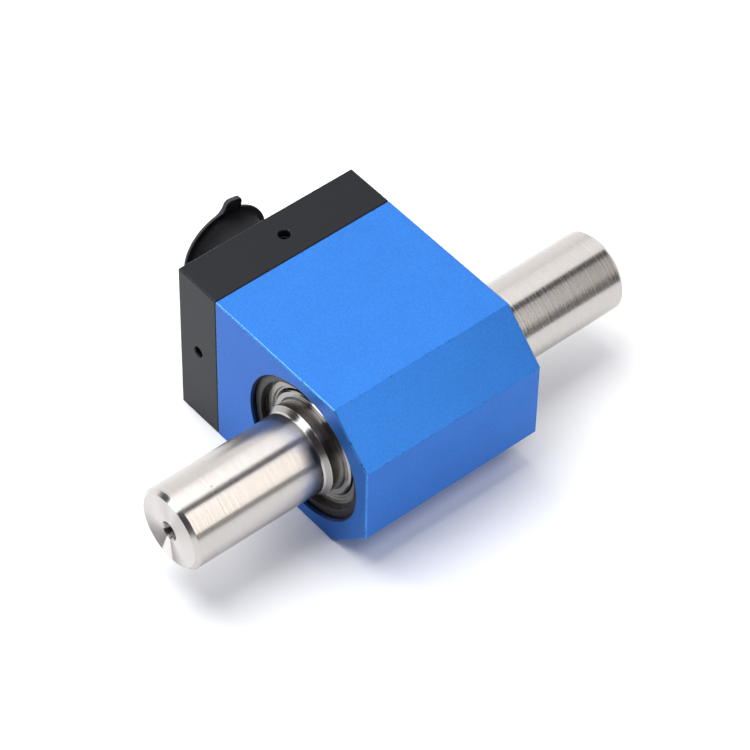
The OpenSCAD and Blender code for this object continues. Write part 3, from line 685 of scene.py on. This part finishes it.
@dataclass(frozen=True)
class SolderMask(Finish):
    """Glass laminate under green solder mask: raised tracks show lighter through the lacquer."""

    track: str = "#3f8a57"
    track_mm: float = 0.4
    track_depth: float = 0.3
    track_height_mm: float = 0.03
    run_tracks: float = 6.0
    track_share: float = 0.06

    def pattern(self, tree: Tree, shader: Node, place: Socket) -> None:
        """Tracks in straight runs, as brick joints, with their height in the lacquer.

        Args:
            tree: node tree of the material.
            shader: the surface shader.
            place: position on the object, in metres.
        """
        turned = add(tree, "ShaderNodeVectorRotate", {
            "Vector": place, "Angle": math.pi / 2,
        }, rotation_type="X_AXIS").outputs["Vector"]
        tracks = add(tree, "ShaderNodeTexBrick", {
            "Vector": turned, "Scale": per_metre(self.run_tracks * self.track_mm),
            "Mortar Size": self.track_share,
            "Color1": linear(self.colour), "Color2": linear(self.colour), "Mortar": linear(self.track),
        })
        tree.links.new(tracks.outputs["Color"], shader.inputs["Base Color"])
        bump = add(tree, "ShaderNodeBump", {
            "Height": tracks.outputs["Fac"],
            "Strength": self.track_depth, "Distance": self.track_height_mm * MM,
        }).outputs["Normal"]
        tree.links.new(bump, shader.inputs["Normal"])


@dataclass
class Palette:
    """Every finish on the sensor, by the record's slot, and the materials made from them."""

    finishes: dict[str, Finish] = field(default_factory=lambda: {
        # Bead blasted, dyed blue and sealed: the clear dye lets the metal's own soft reflection through in
        # blue, and a slanting path through the dye keeps the grazing reflections low.
        # Its end edges carry a pale blue painted highlight, and its bore painted shade.
        "blue_anodised_aluminium": BlastedAnodised(
            "blue_anodised_aluminium", "#3577cb", 0.65, 0.34, gloss=0.12, graze="#dcb8a6", bore_mm=16.4),
        # The same blast and seal in black dye: charcoal, paler where it mirrors the floor, with a grey
        # painted highlight on its end edges.
        "black_anodised_aluminium": BlastedAnodised(
            "black_anodised_aluminium", "#212226", 0.65, 0.44, gloss=0.3, edge="#4a4b50", nick="#0a0a0c",
            edge_highlight_share=0.7),
        # Turned, then ground: bright grey with rings round the axis; painted dull and bright reflections in
        # sectors on its ends, painted shade in its centre holes and on its collar slope.
        "ground_steel": TurnedSteel(
            "ground_steel", "#c0bbb7", 1.0, 0.21, ring_mm=0.45, ring_depth=0.07, spread=0.7, face_spread=0.9,
            face_roughness=0.34, shade=0.04, pit_mm=0.12, wear=0.35, front_calm=0.5, centre_mm=1.9,
            slope_mm=9.5, fan=(
                (-130.0, 1.14), (-97.0, 0.66), (-96.0, 1.42), (-72.0, 1.42), (-71.0, 0.4), (-40.0, 0.66),
                (0.0, 1.14),
            )),
        # Hardened and ground fine: cooler and sharper than the shaft.
        "bearing_steel": TurnedSteel("bearing_steel", "#9c9b99", 1.0, 0.18, ring_depth=0.04),
        # Pressed from sheet: drawn skin with soft reflections.
        "shield_steel": TurnedSteel("shield_steel", "#98958d", 1.0, 0.27, ring_depth=0.05),
        # Phosphated spring strip: dark grey with a dull gleam.
        "spring_steel": TurnedSteel("spring_steel", "#403f3e", 1.0, 0.38, ring_depth=0.05),
        # Blackened in hot oxide: near black with an oily gloss.
        "black_oxide_steel": Speckled("black_oxide_steel", "#2a2a2c", 0.8, 0.35),
        # Plated in zinc: pale and bluish with a soft gleam.
        "zinc_plated_steel": Speckled("zinc_plated_steel", "#b9bcc2", 1.0, 0.3),
        # Pressed and sintered: dull dark grey, slightly grainy.
        "ferrite": Speckled("ferrite", "#3b3937", 0.0, 0.65, skin_mm=0.3, skin_depth=0.25),
        # Drawn and enamelled: brown red with a varnished gloss on each turn.
        "copper": WoundWire("copper", "#b3683a", 0.85, 0.32),
        # Polyimide carrier: amber and glossy.
        "gauge_foil": Speckled("gauge_foil", "#b9772f", 0.1, 0.3, skin_mm=0.5),
        # Glass laminate, etched and lacquered: green, with paler tracks under the gloss.
        "board_laminate": SolderMask("board_laminate", "#1f5a35", 0.0, 0.35),
        # Injection moulded with glass fibre: black with a fine dull skin.
        "moulded_plastic": Speckled("moulded_plastic", "#242427", 0.0, 0.5, skin_mm=0.2, skin_depth=0.15),
        # Nickel over brass: bright with a faint yellow warmth.
        "plated_brass": TurnedSteel(
            "plated_brass", "#c9c5bb", 1.0, 0.2, turning=Turning.SOCKET, ring_depth=0.015),
        # Turned brass under a thin gold plate: yellow and bright.
        "gold_plated_brass": TurnedSteel(
            "gold_plated_brass", "#d8ae4e", 1.0, 0.22, turning=Turning.SOCKET, ring_depth=0.01),
        # Drawn PVC sleeve: red and smooth with a waxy gloss.
        "wire_insulation": Speckled("wire_insulation", "#8f2f2c", 0.0, 0.45, skin_mm=0.6, skin_depth=0.03),
        # Moulded soft rubber: matt black with a little dust, a painted highlight on its rim and painted shade
        # under its lip.
        "cap_rubber": MouldedRubber(
            "cap_rubber", "#0b0b0d", 0.0, 0.75, skin_mm=0.35, skin_depth=0.25, blotch_mm=3.0,
            dust_share=0.03),
        # Cut from nitrile sheet: plain matt black.
        "seal_rubber": Speckled("seal_rubber", "#1a1a1b", 0.0, 0.6, skin_mm=0.3),
    })
    made: dict[str, bpy.types.Material] = field(default_factory=dict)

    def material(self, slot: str) -> bpy.types.Material:
        """Gives the material of a slot, made on first use.

        Args:
            slot: name of a material slot in the record.

        Returns:
            The slot's material.
        """
        if slot not in self.made:
            self.made[slot] = self.finishes[slot].make()
        return self.made[slot]


def dress(palette: Palette, slots: dict[str, str]) -> None:
    """Puts a finish on nodes of the frame.

    Args:
        palette: the finishes.
        slots: record slot for each node's name.
    """
    for name, slot in slots.items():
        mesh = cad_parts[name].data
        mesh.materials.clear()
        mesh.materials.append(palette.material(slot))
        log.info("%s: %s", name, slot)


@dataclass
class Housing:
    """The chamfered block."""

    block: str = "blue_anodised_aluminium"

    def dress(self, palette: Palette) -> None:
        """Blue anodised all over."""
        dress(palette, {"housing": self.block})


@dataclass
class Cover:
    """The box-shaped cover and its set screws."""

    box: str = "black_anodised_aluminium"
    screws: str = "black_oxide_steel"

    def dress(self, palette: Palette) -> None:
        """Black anodised cover, blackened screws."""
        dress(palette, {"end_cover": self.box, "cover_set_screws": self.screws})


@dataclass
class Rotor:
    """The shaft with what is glued to its measuring section."""

    shaft: str = "ground_steel"
    gauges: str = "gauge_foil"
    boards: str = "board_laminate"

    def dress(self, palette: Palette) -> None:
        """Ground shaft, amber gauges, lacquered boards."""
        dress(palette, {"shaft": self.shaft, "strain_gauges": self.gauges, "rotor_boards": self.boards})


@dataclass
class Bearing:
    """One shielded ball bearing with its retaining ring."""

    end: End
    rings: str = "bearing_steel"
    cage: str = "moulded_plastic"
    shields: str = "shield_steel"
    springs: str = "spring_steel"

    def dress(self, palette: Palette) -> None:
        """Ground rings and balls, pressed shields, dark springs.

        Args:
            palette: the finishes.
        """
        finishes = {
            "inner_ring": self.rings, "outer_ring": self.rings, "balls": self.rings, "cage": self.cage,
            "shields": self.shields, "shield_springs": self.springs, "retaining_ring": self.springs,
        }
        dress(palette, {f"{self.end.value}_{piece}": slot for piece, slot in finishes.items()})
        if self.end is End.REAR:
            dress(palette, {"preload_washer": self.springs})


@dataclass
class Transformers:
    """The two ring transformers and their leads."""

    core: str = "ferrite"
    wire: str = "copper"

    def dress(self, palette: Palette) -> None:
        """Sintered cores, wound copper.

        Args:
            palette: the finishes.
        """
        for coil in ("power", "signal"):
            for side in ("stator", "rotor"):
                dress(palette, {f"{coil}_{side}_core": self.core, f"{coil}_{side}_winding": self.wire})
        dress(palette, {"coil_leads": self.wire})


@dataclass
class Electronics:
    """The main board and what stands on it."""

    board: str = "board_laminate"
    screws: str = "zinc_plated_steel"
    parts: str = "moulded_plastic"

    def dress(self, palette: Palette) -> None:
        """Lacquered board, moulded parts, plated screws."""
        dress(palette, {
            "main_board": self.board, "board_screws": self.screws,
            "board_chips": self.parts, "board_capacitors": self.parts,
        })


@dataclass
class SignalSocket:
    """The round panel socket."""

    shell: str = "plated_brass"
    gasket: str = "seal_rubber"
    insert: str = "moulded_plastic"
    contacts: str = "gold_plated_brass"
    wires: str = "wire_insulation"

    def dress(self, palette: Palette) -> None:
        """Plated shell and nut, moulded insert, gilt contacts."""
        dress(palette, {
            "socket_shell": self.shell, "socket_gasket": self.gasket, "socket_nut": self.shell,
            "socket_insert": self.insert, "socket_contacts": self.contacts, "socket_wires": self.wires,
        })


@dataclass
class DustCap:
    """The rubber cap on the socket: a cup with a lipped disc and a pull tab, in millimetres."""

    foot: float = 41.6
    roof: float = 51.1
    under: float = 52.3
    top: float = 53.1
    bore_r: float = 8.1
    wall_r: float = 9.0
    disc_r: float = 10.5
    tab_end: float = 13.2
    tab_half: float = 2.1
    tab_round: float = 1.2
    tab_under: float = 51.9
    web_r: float = 3.2
    turn: float = math.radians(10)
    edge_round: float = 0.28
    fillet: float = 0.6
    roof_fillet: float = 0.6
    dish: float = 0.05
    dish_r: float = 9.4
    flat: float = 0.05
    tab_blend: float = 0.5
    # Rings of points: by radius on the dish and roof, by depth below the roof, by height in the bore.
    dish_rings: tuple[float, ...] = (0.3, 3.0, 6.0, 8.5)
    roof_rings: tuple[float, ...] = (5.0, 2.5, 0.3)
    wall_rings: tuple[float, ...] = (1.0, 3.0, 6.0, 8.5)
    bore_rings: tuple[float, ...] = (1.0, 4.0, 7.0)
    corner_steps: int = 4
    # Degrees between which the tab and its web lie, rays to a degree there, and degrees to a ray elsewhere.
    tab_from: int = -35
    tab_to: int = 20
    fine_rays: int = 3
    coarse_step: int = 2

    def dress(self, palette: Palette) -> None:
        """Builds the moulded cap in the place of the plain solid, in matt rubber.

        Args:
            palette: the finishes.
        """
        mesh = bpy.data.meshes.new("dust_cap_rubber")
        rings = self.rings()
        mesh.from_pydata([self.place(p) for ring in rings for p in ring], [], self.faces(rings))
        mesh.materials.append(palette.material("cap_rubber"))
        mesh.shade_smooth()
        cap = bpy.data.objects.new("dust_cap_rubber", mesh)
        bpy.context.scene.collection.objects.link(cap)
        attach(cap, "cap")
        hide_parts("dust_cap")
        log.info("dust_cap: cap_rubber, %d rings", len(rings))

    def place(self, point: Point) -> Point:
        """Turns a point of the cap to the frame.

        Args:
            point: distance along the tab, across it and along the socket, in millimetres.

        Returns:
            The point in the frame, in metres.
        """
        a, b, h = point
        sine, cosine = math.sin(self.turn), math.cos(self.turn)
        return (a * sine + b * cosine) * MM, h * MM, AXIS_Z + (a * cosine - b * sine) * MM

    def inside(self, a: float, b: float) -> bool:
        """Says whether a point lies in the outline of the disc with its tab and web.

        Args:
            a: distance along the tab from the middle.
            b: distance across the tab.

        Returns:
            True inside the outline.
        """
        if math.hypot(a, b) <= self.disc_r:
            return True
        if abs(b) <= self.tab_half and 0 <= a <= self.tab_end:
            corner_a, corner_b = self.tab_end - self.tab_round, self.tab_half - self.tab_round
            past = a > corner_a and abs(b) > corner_b
            return not past or math.hypot(a - corner_a, abs(b) - corner_b) <= self.tab_round
        web_b = self.tab_half + self.web_r
        web_a = math.sqrt((self.disc_r + self.web_r) ** 2 - web_b ** 2)
        between = 0 <= a <= web_a and -a * web_b / web_a <= b <= 0
        return between and math.hypot(a - web_a, b + web_b) >= self.web_r

    def outline(self, step: float = 0.01) -> list[tuple[float, float]]:
        """Finds the outline by rays from the middle, close together round the tab.

        Args:
            step: how finely each ray looks for the edge.

        Returns:
            Points of the outline, in order.
        """
        points = []
        fine = range(self.tab_from * self.fine_rays, self.tab_to * self.fine_rays)
        coarse = range(self.tab_to, 360 + self.tab_from, self.coarse_step)
        for degrees in [ray / self.fine_rays for ray in fine] + list(coarse):
            along, across = math.cos(math.radians(degrees)), math.sin(math.radians(degrees))
            reach = self.disc_r
            while self.inside((reach + step) * along, (reach + step) * across):
                reach += step
            points.append((reach * along, reach * across))
        return points

    def rings(self) -> list[Ring]:
        """Lays rings of points over the cap, from the middle of its top round the lip and into its bore.

        Returns:
            The rings, with the same number of points on each.
        """
        edge = self.outline()
        size = len(edge)
        turns = [math.atan2(b, a) for a, b in edge]
        inward = []
        for i in range(size):
            (a0, b0), (a1, b1) = edge[i - 1], edge[(i + 1) % size]
            length = math.hypot(a1 - a0, b1 - b0)
            inward.append(((b0 - b1) / length, (a1 - a0) / length))
        past_disc = [max(0.0, math.hypot(a, b) - self.disc_r) for a, b in edge]
        floor = [self.under + (self.tab_under - self.under) * min(1.0, p / self.tab_blend) for p in past_disc]
        quarter = [k * math.pi / 2 / self.corner_steps for k in range(self.corner_steps + 1)]

        def lip(inset: float, heights: Sequence[float]) -> Ring:
            """One ring beside the outline."""
            return [(a + inset * n, b + inset * m, h) for (a, b), (n, m), h in zip(edge, inward, heights)]

        def circle(radius: float, height: float) -> Ring:
            """One round ring."""
            return [(radius * math.cos(t), radius * math.sin(t), height) for t in turns]

        def rises(radius: float) -> list[float]:
            """Steps along a quarter round, from nought to its radius."""
            return [radius * (1 - math.cos(q)) for q in quarter]

        def falls(radius: float) -> list[float]:
            """Steps across a quarter round, from its radius to nought."""
            return [radius * (1 - math.sin(q)) for q in quarter]

        edge_up, edge_down = rises(self.edge_round), falls(self.edge_round)
        rings = [circle(radius, self.top - self.dish) for radius in self.dish_rings]
        rings.append(circle(self.dish_r, self.top))
        rings += [lip(inset, [self.top - drop] * size) for inset, drop in zip(edge_down, edge_up)]
        rings += [lip(inset, [f + rise for f in floor]) for inset, rise in zip(edge_up, edge_down)]
        rings.append(circle(self.wall_r + self.fillet + self.flat, self.under))
        for out, drop in zip(falls(self.fillet), rises(self.fillet)):
            rings.append(circle(self.wall_r + out, self.under - drop))
        rings += [circle(self.wall_r, self.roof - drop) for drop in self.wall_rings]
        rings += [circle(self.wall_r - inset, self.foot + rise) for inset, rise in zip(edge_up, edge_down)]
        rings += [circle(self.bore_r + out, self.foot + rise) for out, rise in zip(edge_down, edge_up)]
        rings += [circle(self.bore_r, self.foot + rise) for rise in self.bore_rings]
        for inset, drop in zip(rises(self.roof_fillet), falls(self.roof_fillet)):
            rings.append(circle(self.bore_r - inset, self.roof - drop))
        rings += [circle(radius, self.roof) for radius in self.roof_rings]
        return rings

    def faces(self, rings: list[Ring]) -> list[tuple[int, ...]]:
        """Joins each ring to the next and closes both ends.

        Args:
            rings: the rings of points.

        Returns:
            Faces as point numbers, facing outwards.
        """
        size = len(rings[0])
        quads = []
        for ring in range(len(rings) - 1):
            for i in range(size):
                j = (i + 1) % size
                low, high = ring * size, (ring + 1) * size
                quads.append((low + i, low + j, high + j, high + i))
        last = (len(rings) - 1) * size
        return quads + [tuple(reversed(range(size))), tuple(range(last, last + size))]


@dataclass(frozen=True)
class Softbox:
    """A rectangular studio light.

    The middle, the point that it faces and the two sides are in metres. The brightness is what a mirror
    would show of it, where a white floor in full light is 1.
    """

    name: str
    middle: Point
    faces: Point
    sides: tuple[float, float]
    brightness: float
    colour: str = "#ffffff"

    def place(self) -> bpy.types.Object:
        """Hangs the light.

        Returns:
            The light's object.
        """
        light = bpy.data.lights.new(self.name, "AREA")
        light.shape = "RECTANGLE"
        light.size, light.size_y = self.sides
        light.color = linear(self.colour)[:3]
        light.energy = self.brightness * math.pi * self.sides[0] * self.sides[1]
        lamp = bpy.data.objects.new(self.name, light)
        bpy.context.scene.collection.objects.link(lamp)
        aim = (Vector(self.faces) - Vector(self.middle)).to_track_quat("-Z", "Y").to_matrix()
        lamp.matrix_world = Matrix.Translation(self.middle) @ aim.to_4x4()
        lamp.visible_camera = False
        return lamp


@dataclass
class Studio:
    """Pale floor, soft lights and the camera, in metres and degrees."""

    floor_side: float = 6.0
    floor_drop: float = 0.02 * MM
    floor_colour: str = "#f8f9f9"
    flag_colour: str = "#686868"
    flag_y: float = -0.18
    flag_from: float = 0.095
    flag_to: float = 0.9
    flag_height: float = 0.05
    room: str = "#47474a"
    room_strength: float = 1.0
    lights: Sequence[Softbox] = (
        Softbox("key_softbox", (-0.115, 0.2, 0.62), (-0.115, 0.2, 0.0), (0.43, 0.56), 5.7),
        Softbox("camera_softbox", (-0.1, -0.3, 0.62), (0.0, 0.0, 0.02), (0.2, 0.2), 6.5, "#e8eaff"),
        Softbox("front_softbox", (-0.62, 0.23, 0.37), (0.0, 0.0, 0.02), (0.3, 0.2), 6.5, "#f4f5ff"),
        Softbox("overhead_softbox", (0.525, 0.435, 0.62), (0.525, 0.435, 0.0), (0.85, 0.93), 1.3),
        Softbox("left_wall", (0.1, 0.9, 0.31), (0.1, 0.0, 0.31), (1.4, 0.62), 1.3),
        Softbox(
            "right_card", (0.1675, -0.3876, 0.3746), (0.1675, 0.4184, -0.2174), (0.145, 0.582), 3.05,
            "#fffaf4"),
        Softbox("card_edge", (0.2675, -0.375, 0.39), (0.2675, 0.431, -0.202), (0.055, 0.49), 0.62),
        Softbox("far_card", (0.38, -0.365, 0.405), (0.38, 0.441, -0.187), (0.17, 0.46), 0.33),
        Softbox("low_card", (0.175, -0.56, 0.075), (0.175, 0.0, 0.075), (0.15, 0.11), 0.6),
    )
    camera_aim: Point = (0.00126, 0.00599, AXIS_Z)
    camera_distance: float = 0.7335
    camera_heading: float = 49.198
    camera_dip: float = 47.929
    camera_roll: float = 1.215
    lens_mm: float = 176.31
    sensor_mm: float = 36.0
    clip_near: float = 0.01

    def build(self) -> None:
        """Lays the floor, stands the flag, lights the room and sets up the camera."""
        half = self.floor_side / 2
        # Rolled paper: white and quite matt.
        paper = Speckled(
            "white_paper", self.floor_colour, 0.0, 0.9, skin_mm=2.0, skin_depth=0.01, shade=0.004)
        self.sheet("studio_floor", [(x * half, y * half, -self.floor_drop) for x, y in SQUARE], paper)
        # Pressed wool felt: grey and matt, so that the steel mirrors a dark strip and no light.
        felt = Speckled("grey_felt", self.flag_colour, 0.0, 0.95, skin_mm=1.0, skin_depth=0.2)
        flag = self.sheet("studio_flag", [
            (self.flag_from if x < 0 else self.flag_to, self.flag_y, (1 + z) / 2 * self.flag_height)
            for x, z in SQUARE
        ], felt)
        flag.visible_camera = False
        flag.visible_shadow = False
        self.light_room()
        self.set_camera()

    def sheet(self, name: str, corners: Ring, finish: Finish) -> bpy.types.Object:
        """Adds a flat sheet to the stage.

        Args:
            name: name of the sheet.
            corners: its four corners in order, in metres.
            finish: what it is made of.

        Returns:
            The sheet's object.
        """
        mesh = bpy.data.meshes.new(name)
        mesh.from_pydata(corners, [], [(0, 1, 2, 3)])
        mesh.materials.append(finish.make())
        holder = bpy.data.objects.new(name, mesh)
        bpy.context.scene.collection.objects.link(holder)
        return holder

    def light_room(self) -> None:
        """An even dim room with bright softboxes in it."""
        scene = bpy.context.scene
        scene.view_settings.view_transform = "Standard"
        world = bpy.data.worlds.new("studio_room")
        world.use_nodes = True
        background = world.node_tree.nodes["Background"]
        background.inputs["Color"].default_value = linear(self.room)
        background.inputs["Strength"].default_value = self.room_strength
        scene.world = world
        for softbox in self.lights:
            softbox.place()

    def set_camera(self) -> None:
        """Sets up a long lens that looks down on the front left of the sensor.

        The heading is counted from +X towards +Y, the dip from level, and the roll about the line of sight.
        """
        camera = bpy.data.cameras.new("photo_camera")
        camera.lens = self.lens_mm
        camera.sensor_width = self.sensor_mm
        camera.sensor_fit = "HORIZONTAL"
        camera.clip_start = self.clip_near
        holder = bpy.data.objects.new("photo_camera", camera)
        bpy.context.scene.collection.objects.link(holder)
        heading = Matrix.Rotation(math.radians(self.camera_heading - 90), 3, "Z")
        dip = Matrix.Rotation(math.radians(90 - self.camera_dip), 3, "X")
        turn = heading @ dip @ Matrix.Rotation(math.radians(self.camera_roll), 3, "Z")
        place = Vector(self.camera_aim) + turn @ Vector((0.0, 0.0, self.camera_distance))
        holder.matrix_world = Matrix.Translation(place) @ turn.to_4x4()
        bpy.context.scene.camera = holder


def main() -> None:
    """Builds and dresses the sub-assemblies in order, then the studio."""
    logging.basicConfig(level=logging.INFO, format="%(name)s: %(message)s")
    palette = Palette()
    Housing().dress(palette)
    Cover().dress(palette)
    Rotor().dress(palette)
    for end in End:
        Bearing(end).dress(palette)
    Transformers().dress(palette)
    Electronics().dress(palette)
    SignalSocket().dress(palette)
    DustCap().dress(palette)
    Studio().build()


if __name__ == "__main__":
    main()
